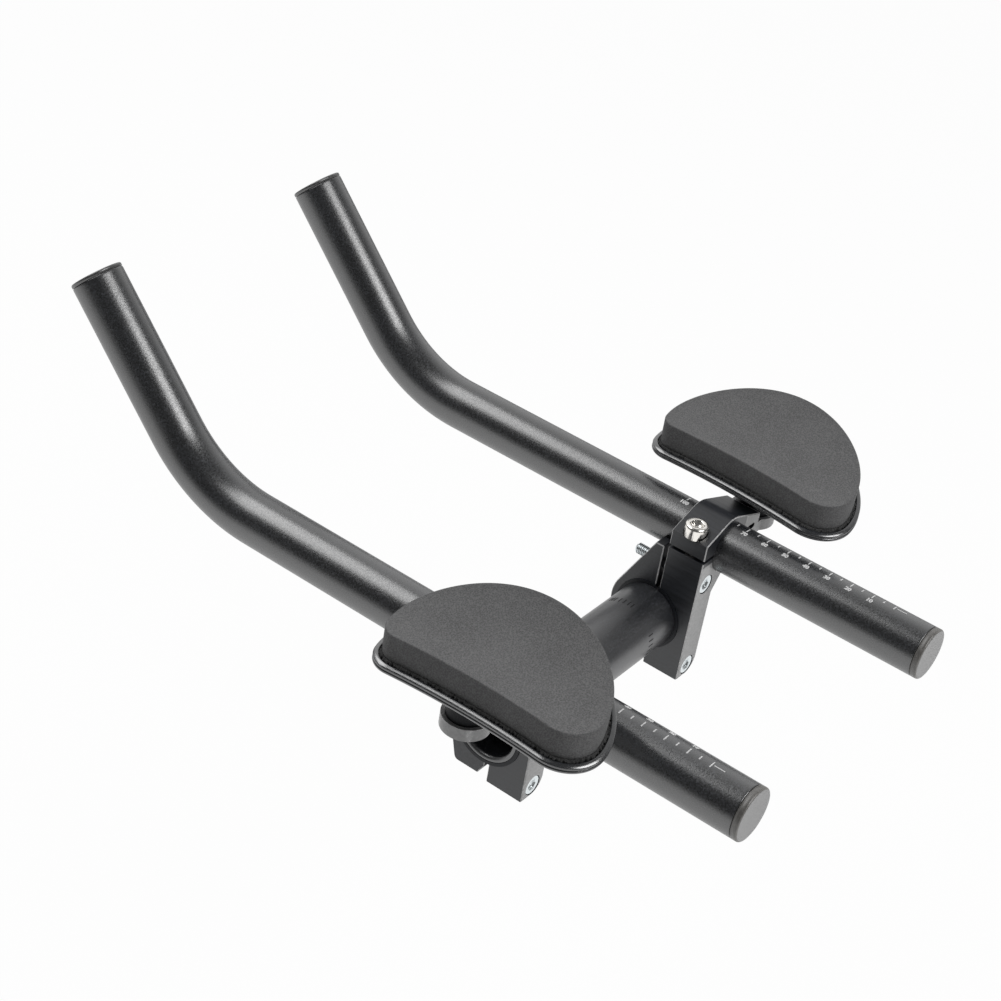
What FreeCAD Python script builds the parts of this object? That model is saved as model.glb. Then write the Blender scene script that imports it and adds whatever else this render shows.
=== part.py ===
import FreeCAD, Part
import math
import os

# Clip-on aero bars on a short cross tube, in millimetres.
# X points to the rider's right, Y forward, Z up. The origin is the centre of the cross tube.

Vec = FreeCAD.Vector
X_AXIS = Vec(1, 0, 0)
Y_AXIS = Vec(0, 1, 0)
Z_AXIS = Vec(0, 0, 1)
ORIGIN = Vec(0, 0, 0)
SIDES = ("left", "right")

# Cross tube
tube_d = 28.6
tube_wall = 2.3
tube_overhang = 0.5

# Extension bars: straight run, one bend upwards, raised tip
ext_d = 22.2
ext_wall = 2.0
ext_spread = 134.2
ext_back = 114.7
ext_front = 148.7
bend_angle = 45.5
bend_radius = 65.0
tip_length = 96.3

# End plugs of the extension bars
rear_lip = 3.0
rear_lip_edge = 0.9
front_lip = 1.7
front_lip_edge = 0.6
plug_spigot = 14.0
plug_wall = 1.8

# Clearances
slide_gap = 0.05
thread_gap = 0.02
hole_gap = 0.25
edge_break = 0.4

# Split sleeves on the cross tube
shim_t = 1.6
shim_lip = 0.5
shim_slit = 2.0

# Clamp body: one section in XZ, extruded along Y and bored across for the cross tube
clamp_t = 13.2
rear_wall = 4.8
split_rear = 3.2
foot_wall = 0.5
foot_round = 7.0
strap_wall = 2.7
roof_slope = 20.0
gusset_drop = 21.0
slit_h = 1.6
relief_reach = 20.9
relief_h = 2.6
relief_lift = 1.6
lug_reach = 32.9
lug_r = 9.8
lug_over = 1.2
lug_under = 4.3
shoulder_gap = 0.4

# Front cap of the clamp
split_front = 1.2
cap_wall = 2.9
cap_drop = 2.0
cap_top_width = 4.0
cap_foot_width = 14.3
cap_foot_rise = 1.2
cap_corner = 2.5
cap_edge = 0.5
cap_chamfer_y = 2.8
cap_chamfer_z = 4.8
cap_bar_gap = 1.0

# Clamp bolts with socket heads, upper and lower
bolt_d = 5.0
bolt_head_d = 8.5
bolt_head_h = 5.0
bolt_key = 4.0
bolt_length = 30.0
bolt_sunk = 0.2
upper_web = 5.1
lower_web = 1.0
bar_over_bolt = 14.0

# Pinch screw of the strap
pinch_d = 5.0
pinch_head_d = 10.0
pinch_head_h = 6.0
pinch_head_edge = 0.6
pinch_key = 5.0
pinch_web = 0.8
pinch_face_wall = 1.4
pinch_seat = 7.7
pinch_over_bolt = 3.2
pinch_hole_spare = 1.0

# Arm rest: riser, dished tray, screw, hook and loop sheets, foam pad
riser_d = 16.4
tray_over_strap = 2.2
cup_radius = 92.4
tray_floor = 2.5
tray_rim_h = 0.5
tray_rim_w = 1.7
tray_margin = 2.7
tray_edge = 1.0
boss_h = 2.5
boss_wall = 2.75
slot_floor = 1.8
slot_in = 18.4
slot_ahead = 6.45
slot_turn = 17.5
slot_spare = 1.3
rest_slide = 5.55
left_turn = 1.1
right_turn = -3.0
rest_screw_d = 6.0
rest_head_d = 11.0
rest_head_h = 2.6
rest_key = 4.0
sheet_t = 0.7
sheet_inset = 0.8
pad_t = 11.7
pad_depth = 44.9
pad_half = 44.5
pad_round = 33.7
pad_waist = 1.5
waist_radius = 331.0
pad_corner = 7.0
pad_edge = 1.2

# Places that follow from the sizes above
tube_r = tube_d / 2
ext_r = ext_d / 2
ext_x = ext_spread / 2
bore_r = tube_r + shim_t
strap_r = ext_r + strap_wall
head_room_r = bolt_head_d / 2 + hole_gap
upper_z = bore_r + upper_web + bolt_d / 2
lower_z = -(bore_r + lower_web + bolt_d / 2)
ext_z = upper_z + bar_over_bolt
clamp_front = -split_rear
clamp_rear = -(bore_r + rear_wall)
clamp_depth = clamp_front - clamp_rear
clamp_mid_y = (clamp_front + clamp_rear) / 2
clamp_foot = lower_z - head_room_r - foot_wall
pinch_x = ext_x - ext_r - pinch_web - pinch_d / 2
clamp_in = pinch_x - pinch_d / 2 - pinch_face_wall
clamp_out = clamp_in + clamp_t
clamp_mid_x = (clamp_in + clamp_out) / 2
bolt_seat_y = clamp_rear + bolt_head_h + bolt_sunk
slit_z = ext_z - slit_h / 2
pinch_seat_z = ext_z + pinch_seat
pinch_tip_z = upper_z + bolt_d / 2 + pinch_over_bolt
lug_x = ext_x + lug_reach
lug_y = clamp_front - lug_r
lug_top = ext_z + lug_over
lug_bottom = ext_z - lug_under
shoulder_x = lug_x - riser_d / 2 - shoulder_gap
tray_z = ext_z + strap_r + tray_over_strap
floor_z = tray_z + tray_floor
boss_z = tray_z - boss_h
rest_seat_z = boss_z + slot_floor
slot_half = rest_slide + slot_spare
cup_axis_z = floor_z + cup_radius
tube_end = clamp_out + tube_overhang


def rounded_wire(corners, place):
    """Closed wire through (a, b, radius) corners; each radius becomes a tangent arc."""
    count = len(corners)
    points = [Vec(a, b, 0) for a, b, radius in corners]
    entries = []
    exits = []
    edges = []
    for index in range(count):
        here = points[index]
        radius = corners[index][2]
        back = (points[index - 1] - here).normalize()
        ahead = (points[(index + 1) % count] - here).normalize()
        half = back.getAngle(ahead) / 2
        reach = radius / math.tan(half)
        entries.append(here + back * reach)
        exits.append(here + ahead * reach)
        if radius > 0:
            inward = (back + ahead).normalize()
            middle = here + inward * (radius / math.sin(half) - radius)
            edges.append(Part.Arc(place(entries[index]), place(middle), place(exits[index])).toShape())
    for index in range(count):
        start = place(exits[index])
        end = place(entries[(index + 1) % count])
        edges.append(Part.LineSegment(start, end).toShape())
    return Part.Wire(Part.__sortEdges__(edges))


def prism_along_y(corners, y_from, y_to):
    """Solid with the given XZ section between two Y planes."""
    wire = rounded_wire(corners, lambda p: Vec(p.x, y_from, p.y))
    return Part.Face(wire).extrude(Vec(0, y_to - y_from, 0))


def prism_along_x(corners, x_from, x_to):
    """Solid with the given YZ section between two X planes."""
    wire = rounded_wire(corners, lambda p: Vec(x_from, p.x, p.y))
    return Part.Face(wire).extrude(Vec(x_to - x_from, 0, 0))


def rod(radius, start, axis, length):
    """Round rod from a start point along an axis."""
    return Part.makeCylinder(radius, length, start, axis)


def pipe(outer_r, inner_r, start, axis, length):
    """Straight round tube from a start point along an axis."""
    return rod(outer_r, start, axis, length).cut(rod(inner_r, start, axis, length))


def block(x_from, x_to, y_from, y_to, z_from, z_to):
    """Upright block between two corners."""
    return Part.makeBox(x_to - x_from, y_to - y_from, z_to - z_from, Vec(x_from, y_from, z_from))


def key_socket(across, start, axis, depth):
    """Hexagonal prism across flats, for the key socket of a screw head."""
    side = X_AXIS if abs(axis.z) > 0.5 else Z_AXIS
    spin = FreeCAD.Rotation(axis, 60)
    points = [start + side * (across / math.sqrt(3))]
    for step in range(6):
        points.append(start + spin.multVec(points[-1] - start))
    return Part.Face(Part.makePolygon(points)).extrude(axis * depth)


def edges_where(solid, test):
    """Edges of a solid whose ends all pass a test."""
    return [edge for edge in solid.Edges if all(test(vertex.Point) for vertex in edge.Vertexes)]


def screw(seat, axis, shank_d, shank_length, head_d, head_h, head_edge, key):
    """Socket head screw: head behind the seat point, shank ahead of it along the axis."""
    top = seat - axis * head_h
    head = rod(head_d / 2, top, axis, head_h)
    rim = [edge for edge in head.Edges if edge.Closed and edge.CenterOfMass.isEqual(top, head_h / 2)]
    head = head.makeChamfer(head_edge, rim)
    shank = rod(shank_d / 2, seat, axis, shank_length)
    return head.fuse(shank).removeSplitter().cut(key_socket(key, top, axis, head_h / 2))


def bar_line():
    """Points of the right bar's centre line, and the direction of its raised tip."""
    angle = math.radians(bend_angle)
    setback = bend_radius * math.tan(angle / 2)
    rise = Vec(0, math.cos(angle), math.sin(angle))
    corner = Vec(ext_x, ext_front, ext_z)
    rear_end = Vec(ext_x, -ext_back, ext_z)
    return rear_end, corner - Y_AXIS * setback, corner + rise * setback, corner + rise * tip_length, rise


def extension_bar():
    """Bent tube: straight run, a bend revolved about its centre, and the raised tip."""
    rear_end, bend_in, bend_out, tip, rise = bar_line()
    circles = [Part.makeCircle(radius, bend_in, Y_AXIS) for radius in (ext_r, ext_r - ext_wall)]
    ring = Part.Face([Part.Wire(circle) for circle in circles])
    bend = ring.revolve(bend_in + Z_AXIS * bend_radius, X_AXIS, bend_angle)
    run = pipe(ext_r, ext_r - ext_wall, rear_end, Y_AXIS, (bend_in - rear_end).Length)
    raised = pipe(ext_r, ext_r - ext_wall, bend_out, rise, (tip - bend_out).Length)
    return run.fuse([bend, raised]).removeSplitter()


def end_plug(end, outward, lip, lip_edge):
    """Moulded plug: bevelled lip over the tube's end and a hollow spigot inside it."""
    spigot_r = ext_r - ext_wall - slide_gap
    cap = rod(ext_r, ORIGIN, Z_AXIS, lip)
    cap = cap.makeChamfer(lip_edge, edges_where(cap, lambda p: p.z > lip / 2))
    spigot = pipe(spigot_r, spigot_r - plug_wall, Vec(0, 0, -plug_spigot), Z_AXIS, plug_spigot)
    plug = cap.fuse(spigot).removeSplitter()
    plug.Placement = FreeCAD.Placement(end, FreeCAD.Rotation(Z_AXIS, outward))
    return plug


def clamp_section(round_x):
    """Undrilled clamp body: block, gusset, strap under a two-sided roof, wing and round lug."""
    slope = math.radians(roof_slope)
    touch = strap_r * math.sin(slope)
    touch_z = ext_z + strap_r * math.cos(slope)
    inner_z = touch_z - (ext_x - touch - clamp_in) * math.tan(slope)
    shoulder_z = touch_z - (shoulder_x - ext_x - touch) * math.tan(slope)
    inner_half = [
        (clamp_in, clamp_foot, foot_round if round_x == clamp_in else 0),
        (clamp_out, clamp_foot, foot_round if round_x == clamp_out else 0),
        (clamp_out, ext_z - gusset_drop, 0),
        (ext_x, ext_z - strap_r, 0), (ext_x, ext_z, 0), (ext_x - touch, touch_z, 0), (clamp_in, inner_z, 0)]
    wing = [
        (ext_x, lug_bottom, 0), (lug_x, lug_bottom, 0), (lug_x, lug_top, 0), (shoulder_x, lug_top, 0),
        (shoulder_x, shoulder_z, 0), (ext_x + touch, touch_z, 0), (ext_x, ext_z, 0)]
    strap = rod(strap_r, Vec(ext_x, clamp_rear, ext_z), Y_AXIS, clamp_depth)
    lug = rod(lug_r, Vec(lug_x, lug_y, lug_bottom), Z_AXIS, lug_top - lug_bottom)
    pieces = [prism_along_y(wing, clamp_rear, clamp_front), strap, lug]
    section = prism_along_y(inner_half, clamp_rear, clamp_front).fuse(pieces).removeSplitter()
    outlines = []
    for face_y in (clamp_rear, clamp_front):
        outlines += edges_where(section, lambda p: abs(p.y - face_y) + max(p.x - shoulder_x, 0) < slide_gap)
    return section.makeChamfer(edge_break, outlines)


def clamp_body(round_x):
    """Clamp body with its rounded foot, bores, pinch slit, relief slot and screw holes."""
    body = clamp_section(round_x)
    relief_x = ext_x + relief_reach - relief_h / 2
    relief_z = ext_z + relief_lift
    pinch_top = Vec(pinch_x, clamp_mid_y, pinch_seat_z)
    tap_length = slit_z - pinch_tip_z + pinch_hole_spare
    cuts = [
        rod(ext_r + slide_gap, Vec(ext_x, clamp_rear, ext_z), Y_AXIS, clamp_depth),
        rod(bore_r, Vec(clamp_in, 0, 0), X_AXIS, clamp_t),
        block(clamp_in, ext_x, clamp_rear, clamp_front, slit_z, slit_z + slit_h),
        block(ext_x, relief_x, clamp_rear, clamp_front, relief_z - relief_h / 2, relief_z + relief_h / 2),
        rod(relief_h / 2, Vec(relief_x, clamp_rear, relief_z), Y_AXIS, clamp_depth),
        rod(pinch_head_d / 2 + hole_gap, pinch_top, Z_AXIS, strap_r),
        rod(pinch_d / 2 + hole_gap, pinch_top, -Z_AXIS, pinch_seat),
        rod(pinch_d / 2 + thread_gap, Vec(pinch_x, clamp_mid_y, slit_z), -Z_AXIS, tap_length),
        rod(rest_screw_d / 2 + thread_gap, Vec(lug_x, lug_y, lug_bottom), Z_AXIS, lug_top - lug_bottom)]
    for level in (upper_z, lower_z):
        start = Vec(clamp_mid_x, clamp_rear, level)
        cuts.append(rod(bolt_d / 2 + hole_gap, start, Y_AXIS, clamp_depth))
        cuts.append(rod(head_room_r, start, Y_AXIS, bolt_seat_y - clamp_rear))
    return body.cut(cuts).removeSplitter()


def tangent_angle(y, z, radius, turn):
    """Angle at which a tangent from the point (y, z) touches a circle about the cross tube."""
    return math.atan2(z, y) + turn * math.acos(radius / math.hypot(y, z))


def clamp_cap():
    """Front cap: round over the cross tube, tapered to its top edge and to its foot."""
    outer_r = bore_r + cap_wall
    back = -split_front
    top_y = back + cap_top_width
    top_z = ext_z - cap_drop
    foot_y = back + cap_foot_width
    foot_z = clamp_foot + cap_foot_rise
    upper = tangent_angle(top_y, top_z, outer_r, -1)
    lower = tangent_angle(foot_y, foot_z, outer_r, 1)
    nose = outer_r / math.cos((upper - lower) / 2)
    nose_angle = (upper + lower) / 2
    corners = [
        (back, top_z, cap_edge), (top_y, top_z, cap_edge),
        (nose * math.cos(nose_angle), nose * math.sin(nose_angle), outer_r),
        (foot_y, foot_z, cap_corner), (back + cap_chamfer_y, foot_z, cap_edge),
        (back, foot_z + cap_chamfer_z, cap_edge)]
    cuts = [
        rod(bore_r, Vec(clamp_in, 0, 0), X_AXIS, clamp_t),
        rod(ext_r + cap_bar_gap, Vec(ext_x, back, ext_z), Y_AXIS, 2 * outer_r)]
    for level in (upper_z, lower_z):
        cuts.append(rod(bolt_d / 2 + thread_gap, Vec(clamp_mid_x, back, level), Y_AXIS, 2 * outer_r))
    cap = prism_along_x(corners, clamp_in, clamp_out)
    outlines = []
    for face_x in (clamp_in, clamp_out):
        outlines += edges_where(cap, lambda p: abs(p.x - face_x) < slide_gap)
    return cap.makeChamfer(edge_break, outlines).cut(cuts).removeSplitter()


def clamp_bolts():
    """Upper and lower clamp bolts, from the rear face into the cap."""
    bolts = []
    for level in (upper_z, lower_z):
        seat = Vec(clamp_mid_x, bolt_seat_y, level)
        bolts.append(screw(seat, Y_AXIS, bolt_d, bolt_length, bolt_head_d, bolt_head_h, cap_edge, bolt_key))
    return Part.makeCompound(bolts)


def pinch_screw():
    """Upright screw that closes the strap, with its head on a spot face of the roof."""
    seat = Vec(pinch_x, clamp_mid_y, pinch_seat_z)
    length = pinch_seat_z - pinch_tip_z
    return screw(seat, -Z_AXIS, pinch_d, length, pinch_head_d, pinch_head_h, pinch_head_edge, pinch_key)


def bar_shim():
    """Split sleeve between the cross tube and the clamp bore, slit under the clamp's split."""
    start = Vec(clamp_in - shim_lip, 0, 0)
    length = clamp_t + 2 * shim_lip
    slit_y = -(split_rear + split_front) / 2
    sleeve = pipe(bore_r - slide_gap, tube_r + slide_gap, start, X_AXIS, length)
    half = shim_slit / 2
    return sleeve.cut(block(start.x, start.x + length, slit_y - half, slit_y + half, 0, bore_r))


def cross_tube():
    """Short open tube through both clamps."""
    return pipe(tube_r, tube_r - tube_wall, Vec(-tube_end, 0, 0), X_AXIS, 2 * tube_end)


def rest_riser():
    """Round spacer from the lug up to the tray's boss."""
    start = Vec(lug_x, lug_y, lug_top)
    return pipe(riser_d / 2, rest_screw_d / 2 + hole_gap, start, Z_AXIS, boss_z - lug_top)


def rest_screw():
    """Low head screw from the tray's slot through the riser into the lug."""
    seat = Vec(lug_x, lug_y, rest_seat_z)
    length = rest_seat_z - lug_bottom
    return screw(seat, -Z_AXIS, rest_screw_d, length, rest_head_d, rest_head_h, cap_edge, rest_key)


def rest_prism(grow):
    """Upright prism of the rest's outline: elliptical side, waisted side at -X, round corners."""
    middle = Vec(pad_depth - pad_round, 0, boss_z)
    side = Part.Ellipse(middle + Y_AXIS * (pad_half + grow), middle + X_AXIS * (pad_round + grow), middle)
    prism = Part.Face(Part.Wire(side.toShape())).extrude(Z_AXIS * cup_radius)
    waist = rod(waist_radius - grow, Vec(pad_waist - waist_radius, 0, boss_z), Z_AXIS, cup_radius)
    prism = prism.cut(waist)
    corners = edges_where(prism, lambda p: p.x < pad_waist)
    upright = [edge for edge in corners if abs(edge.Length - cup_radius) < slide_gap]
    return prism.makeFillet(pad_corner + grow, upright)


def cup_layer(grow, low, high):
    """Layer of the dished rest, between two heights over the tray's floor."""
    start = Vec(0, -2 * pad_half, cup_axis_z)
    below = rod(cup_radius - low, start, Y_AXIS, 4 * pad_half)
    above = rod(cup_radius - high, start, Y_AXIS, 4 * pad_half)
    return rest_prism(grow).common(below).cut(above)


def layer_edges(layer, height):
    """Edges of a layer that run at one height over the tray's floor."""
    radius = cup_radius - height
    return edges_where(layer, lambda p: abs(math.hypot(p.x, p.z - cup_axis_z) - radius) < slide_gap)


def slot_bar(width, level, height):
    """Round-ended upright bar along the tray's slanted slot."""
    ends = [rod(width / 2, Vec(0, y, level), Z_AXIS, height) for y in (-slot_half, slot_half)]
    middle = block(-width / 2, width / 2, -slot_half, slot_half, level, level + height)
    bar = middle.fuse(ends).removeSplitter()
    bar.Placement = FreeCAD.Placement(Vec(slot_in, slot_ahead, 0), FreeCAD.Rotation(Z_AXIS, slot_turn))
    return bar


def rest_tray():
    """Dished tray with a low rim, a slotted boss below and a recess for the screw head."""
    tray = cup_layer(tray_margin, -tray_floor, tray_rim_h)
    tray = tray.makeChamfer(tray_edge, layer_edges(tray, -tray_floor))
    tray = tray.makeChamfer(edge_break, layer_edges(tray, tray_rim_h))
    well = cup_layer(tray_margin - tray_rim_w, 0, tray_rim_h)
    axis_start = Vec(0, -2 * pad_half, cup_axis_z)
    recess_w = rest_head_d + 2 * hole_gap
    boss = slot_bar(recess_w + 2 * boss_wall, boss_z, cup_radius / 2)
    boss = boss.cut(rod(cup_radius, axis_start, Y_AXIS, 4 * pad_half))
    recess = slot_bar(recess_w, rest_seat_z, cup_radius / 2)
    slot = slot_bar(rest_screw_d + 2 * hole_gap, boss_z, slot_floor)
    return tray.cut(well).fuse(boss).removeSplitter().cut([recess, slot])


def arm_pad():
    """Foam pad with a bevelled upper edge."""
    top = 2 * sheet_t + pad_t
    pad = cup_layer(0, 2 * sheet_t, top)
    return pad.makeChamfer(pad_edge, layer_edges(pad, top))


def rest_place(side):
    """Move from the rest's own straight side to its place over one side's lug."""
    right = side == "right"
    turn = FreeCAD.Rotation(Z_AXIS, right_turn if right else left_turn)
    slid = FreeCAD.Rotation(Z_AXIS, slot_turn).multVec(Y_AXIS * (-rest_slide if right else rest_slide))
    lug = Vec(lug_x if right else -lug_x, lug_y, 0)
    return FreeCAD.Placement(lug - turn.multVec(Vec(slot_in, slot_ahead, 0) + slid), turn)


def side_pieces(side):
    """All pieces of one side, in place."""
    rear_end, bend_in, bend_out, tip, rise = bar_line()
    round_x = clamp_out if side == "right" else clamp_in
    mirrored = {
        "extension_bar": extension_bar(),
        "front_plug": end_plug(tip, rise, front_lip, front_lip_edge),
        "rear_plug": end_plug(rear_end, -Y_AXIS, rear_lip, rear_lip_edge),
        "clamp_body": clamp_body(round_x),
        "clamp_cap": clamp_cap(),
        "clamp_bolts": clamp_bolts(),
        "pinch_screw": pinch_screw(),
        "bar_shim": bar_shim(),
        "rest_riser": rest_riser(),
        "rest_screw": rest_screw()}
    same_hand = {
        "rest_plate": rest_tray(),
        "hook_sheet": cup_layer(-sheet_inset, 0, sheet_t),
        "loop_sheet": cup_layer(-sheet_inset, sheet_t, 2 * sheet_t),
        "arm_pad": arm_pad()}
    if side == "left":
        mirrored = {name: shape.mirror(ORIGIN, X_AXIS) for name, shape in mirrored.items()}
    for name, shape in same_hand.items():
        shape.Placement = rest_place(side)
    return {**mirrored, **same_hand}


def main():
    os.makedirs("parts", exist_ok=True)
    cross_tube().exportStep("parts/cross_tube.step")
    for side in SIDES:
        for name, shape in side_pieces(side).items():
            shape.exportStep("parts/" + side + "_" + name + ".step")


main()
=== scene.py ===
import bpy
import numpy as np
from mathutils import Matrix


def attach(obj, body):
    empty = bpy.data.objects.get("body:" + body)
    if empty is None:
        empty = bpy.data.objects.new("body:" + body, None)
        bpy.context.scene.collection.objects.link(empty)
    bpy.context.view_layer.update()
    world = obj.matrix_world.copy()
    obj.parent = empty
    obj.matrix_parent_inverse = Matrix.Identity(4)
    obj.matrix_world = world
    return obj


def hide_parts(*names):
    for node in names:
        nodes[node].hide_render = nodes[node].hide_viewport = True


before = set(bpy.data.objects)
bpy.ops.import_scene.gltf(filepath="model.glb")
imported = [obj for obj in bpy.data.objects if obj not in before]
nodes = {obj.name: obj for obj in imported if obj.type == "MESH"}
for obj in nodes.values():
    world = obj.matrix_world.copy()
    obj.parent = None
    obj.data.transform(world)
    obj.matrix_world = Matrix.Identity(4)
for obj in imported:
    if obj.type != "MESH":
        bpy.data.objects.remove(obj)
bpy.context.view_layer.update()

# Clip-on aero bars. X points to the rider's right, Y forward and Z up, from the middle of the cross tube.
# Meshes are worked out in millimetres; places and sizes in materials, lamps and the camera are in metres.

SIDES = {"left": -1, "right": 1}
MM = 0.001
X_AXIS, Y_AXIS, Z_AXIS = np.eye(3)
AROUND = 96

# Cross tube
CROSS_R = 14.3
CROSS_WALL = 2.3
CROSS_END = 62.5
CROSS_RUN = 50.0
CROSS_OUTER_EDGE = 0.4
CROSS_INNER_EDGE = 1.7

# Extension bars: straight run, one bend upwards, raised tip
BAR_X = 67.1
BAR_Z = 37.5
BAR_R = 11.1
BAR_WALL = 2.0
BAR_EDGE = 0.45
BAR_REAR = -114.7
BEND_START = 121.44
BEND_R = 65.0
BEND_ANGLE = np.radians(45.5)
TIP_LENGTH = 96.3
TIP_RUN = TIP_LENGTH - BEND_R * np.tan(BEND_ANGLE / 2)

# End plugs: spigot, and thickness and rim radius of each lip
PLUG_R = 9.1
PLUG_DEPTH = 14.0
REAR_LIP = (3.0, 0.9)
FRONT_LIP = (1.7, 0.6)

# Printed length scale of the bars, its zero mark behind the clamps
SCALE_ZERO = -97.5
SCALE_TURN = {"left": np.radians(-1.0), "right": np.radians(9.2)}
NUMBER_REACH = {"left": 4.6, "right": 3.6}
NUMBER_HEIGHT = 1.9
MARK_WIDTH = 0.5
LONG_MARK = 3.4
SHORT_MARK = 2.1
DASH_BEHIND = 3.2
DASH_LENGTH = 4.6
DASH_WIDTH = 0.45
PRINT_HALF = 0.05
SCALE_LIFT = 0.03

# Dark marks across the cross tube: degrees from upright towards the front
CROSS_MARK_X = 30.9
CROSS_MARK_LENGTH = 3.0
CROSS_MARK_DEGREES = np.array([36, 31, 26, 17, 8, -1, -8, -68, -78, -88, -98, -108])
CROSS_MARK_LIFT = 0.02

# Screws. Head: radius, height, edge radius, flutes. Socket: width, depth. Shank: radius, length, pitch.
PINCH_SCREW = {"head": (5.0, 6.0, 1.3, 40), "socket": (4.6, 1.8), "shank": (2.5, 16.0, 1.0)}
PINCH_SEAT = (52.7, -11.95, 45.2)
CLAMP_BOLT = {"head": (4.4, 5.0, 0.5, 36), "socket": (4.0, 0.9), "shank": (2.45, 30.0, 0.8)}
BOLT_X = 55.4
BOLT_SEAT_Y = -15.5
BOLT_LEVELS = (23.5, -19.4)

# The arm rest in its own frame: straight side at x = 0, round side towards +X, dished about an axis along Y
REST_PLACE = {"left": (-116.50, -25.06, 1.1), "right": (79.90, -13.10, -3.0)}
REST_HEART = np.array([19.0, 0.0])
CUP_AXIS_Z = 148.4
CUP_R = 92.4
ROUND_X = 11.2
ROUND_HALF = (33.7, 45.0)
WAIST_R = 331.0
WAIST_IN = 1.5
FRONT_CORNER = 7.0
REAR_CORNER = 12.5

# Foam pad: heights over the tray's floor
PAD_FOOT = 1.4
PAD_TOP = 13.1
PAD_EDGE = 0.5
PAD_TUCK = 0.35
PAD_FOOT_IN = 0.7
PAD_SWELL = 0.14
PAD_INSET = 0.02

# Frayed tape edge, row by row: offset and its share of the fray, then height and its shares of the lift
# and of the lift's size
TAPE_ROWS = np.array([
    (-2.6, 0.0, 0.03, 0.0, 0.0),
    (0.1, 0.4, 0.06, 0.0, 0.1),
    (0.55, 1.0, 0.45, 1.0, 0.0),
    (0.5, 1.0, 0.95, 1.0, 0.0),
    (-0.2, 0.4, 1.45, 0.0, 1.0),
    (-2.6, 0.0, 1.38, 0.0, 0.0),
])
TAPE_SEED = {"left": 11, "right": 23}
FRAY_WAVES = ((20, 60, 0.22), (70, 150, 0.3), (160, 300, 0.22))
LIFT_WAVES = ((30, 80, 0.12), (120, 260, 0.14))

# Tray: offset and height of its edge rows; boss under it with a slanted stepped slot
TRAY_ROWS = np.array([(1.7, -2.5), (2.65, -1.5), (2.65, 0.0), (1.2, 0.0)])
SLOT_PLACE = (18.4, 6.45)
SLOT_TURN = np.radians(17.5)
SLOT_HALF = 6.85
SLOT_R = 3.25
RECESS_R = 5.75
BOSS_R = 8.5
BOSS_FOOT = 51.0
BOSS_EDGE = 0.3
SLOT_EDGE = 0.25
SCREW_SEAT_Z = 52.8
BOSS_SUNK = -1.0


# Meshes from whole arrays

def wind(points, triangles):
    """Turn the triangles of a closed shell outwards: corner a . (b x c), summed, is six times the volume."""
    a, b, c = (points[triangles[:, i]] for i in range(3))
    volume = np.einsum("ij,ij->i", a, np.cross(b, c)).sum()
    return triangles if volume > 0 else triangles[:, ::-1]


def make_piece(name, points, faces, finish, slot, smooth=True):
    """Put points (millimetres) and faces into a mesh at the origin that rides on the root body."""
    mesh = bpy.data.meshes.new(name)
    mesh.from_pydata((points * MM).tolist(), [], faces)
    mesh.polygons.foreach_set("use_smooth", np.full(len(mesh.polygons), smooth))
    mesh.materials.append(finish)
    piece = bpy.data.objects.new(name, mesh)
    bpy.context.scene.collection.objects.link(piece)
    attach(piece, "root")
    return piece


def joined(parts):
    """Put several meshes, each as (points, faces), into one array of points and one list of faces."""
    points, faces = zip(*parts)
    starts = np.cumsum([0] + [len(part) for part in points]).tolist()
    moved = [[start + i for i in face] for start, part in zip(starts, faces) for face in part]
    return np.vstack(points), moved


def skin(rows, ring=False):
    """Join rows of points, each closed round, by quads from one row to the next.

    rows has the shape (rows, points round, 3). With ring the last row joins the first one, as round a wall
    with an outside and an inside. Otherwise the first and last rows are drawn together to one point each.
    """
    count, around = rows.shape[:2]
    index = np.arange(count * around).reshape(count, around)
    upper = np.roll(index, -1, axis=0) if ring else index[1:]
    lower = index if ring else index[:-1]
    quads = np.stack([lower, np.roll(lower, -1, axis=1), np.roll(upper, -1, axis=1), upper], axis=-1)
    quads = quads.reshape(-1, 4)
    points = rows.reshape(-1, 3)
    caps = np.zeros((0, 3), dtype=int)
    if not ring:
        points = np.vstack([points, rows[0].mean(axis=0), rows[-1].mean(axis=0)])
        first, last = np.full(around, count * around), np.full(around, count * around + 1)
        caps = np.vstack([
            np.stack([np.roll(index[0], -1), index[0], first], axis=-1),
            np.stack([index[-1], np.roll(index[-1], -1), last], axis=-1),
        ])
    triangles = np.vstack([quads[:, [0, 1, 2]], quads[:, [0, 2, 3]], caps])
    if not np.array_equal(wind(points, triangles), triangles):
        quads, caps = quads[:, ::-1], caps[:, ::-1]
    return points, quads.tolist() + caps.tolist()


def turned(profile, centre, axis, side, up, around=AROUND):
    """Lathe a profile of (radius, distance along the axis): centre + t axis + r (cos a side + sin a up)."""
    radius, along = np.asarray(profile, dtype=float).T[:, :, None, None]
    angle = np.linspace(0, 2 * np.pi, around, endpoint=False)[:, None]
    circle = np.cos(angle) * np.asarray(side) + np.sin(angle) * np.asarray(up)
    return np.asarray(centre) + along * np.asarray(axis) + radius * circle


def quarter(radius, distance, corner, start, end, steps=7):
    """Points of an arc of the given corner radius about (radius, distance), angles in degrees."""
    angle = np.radians(np.linspace(start, end, steps))
    return np.stack([radius + corner * np.cos(angle), distance + corner * np.sin(angle)], axis=-1)


# Tubes

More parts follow.
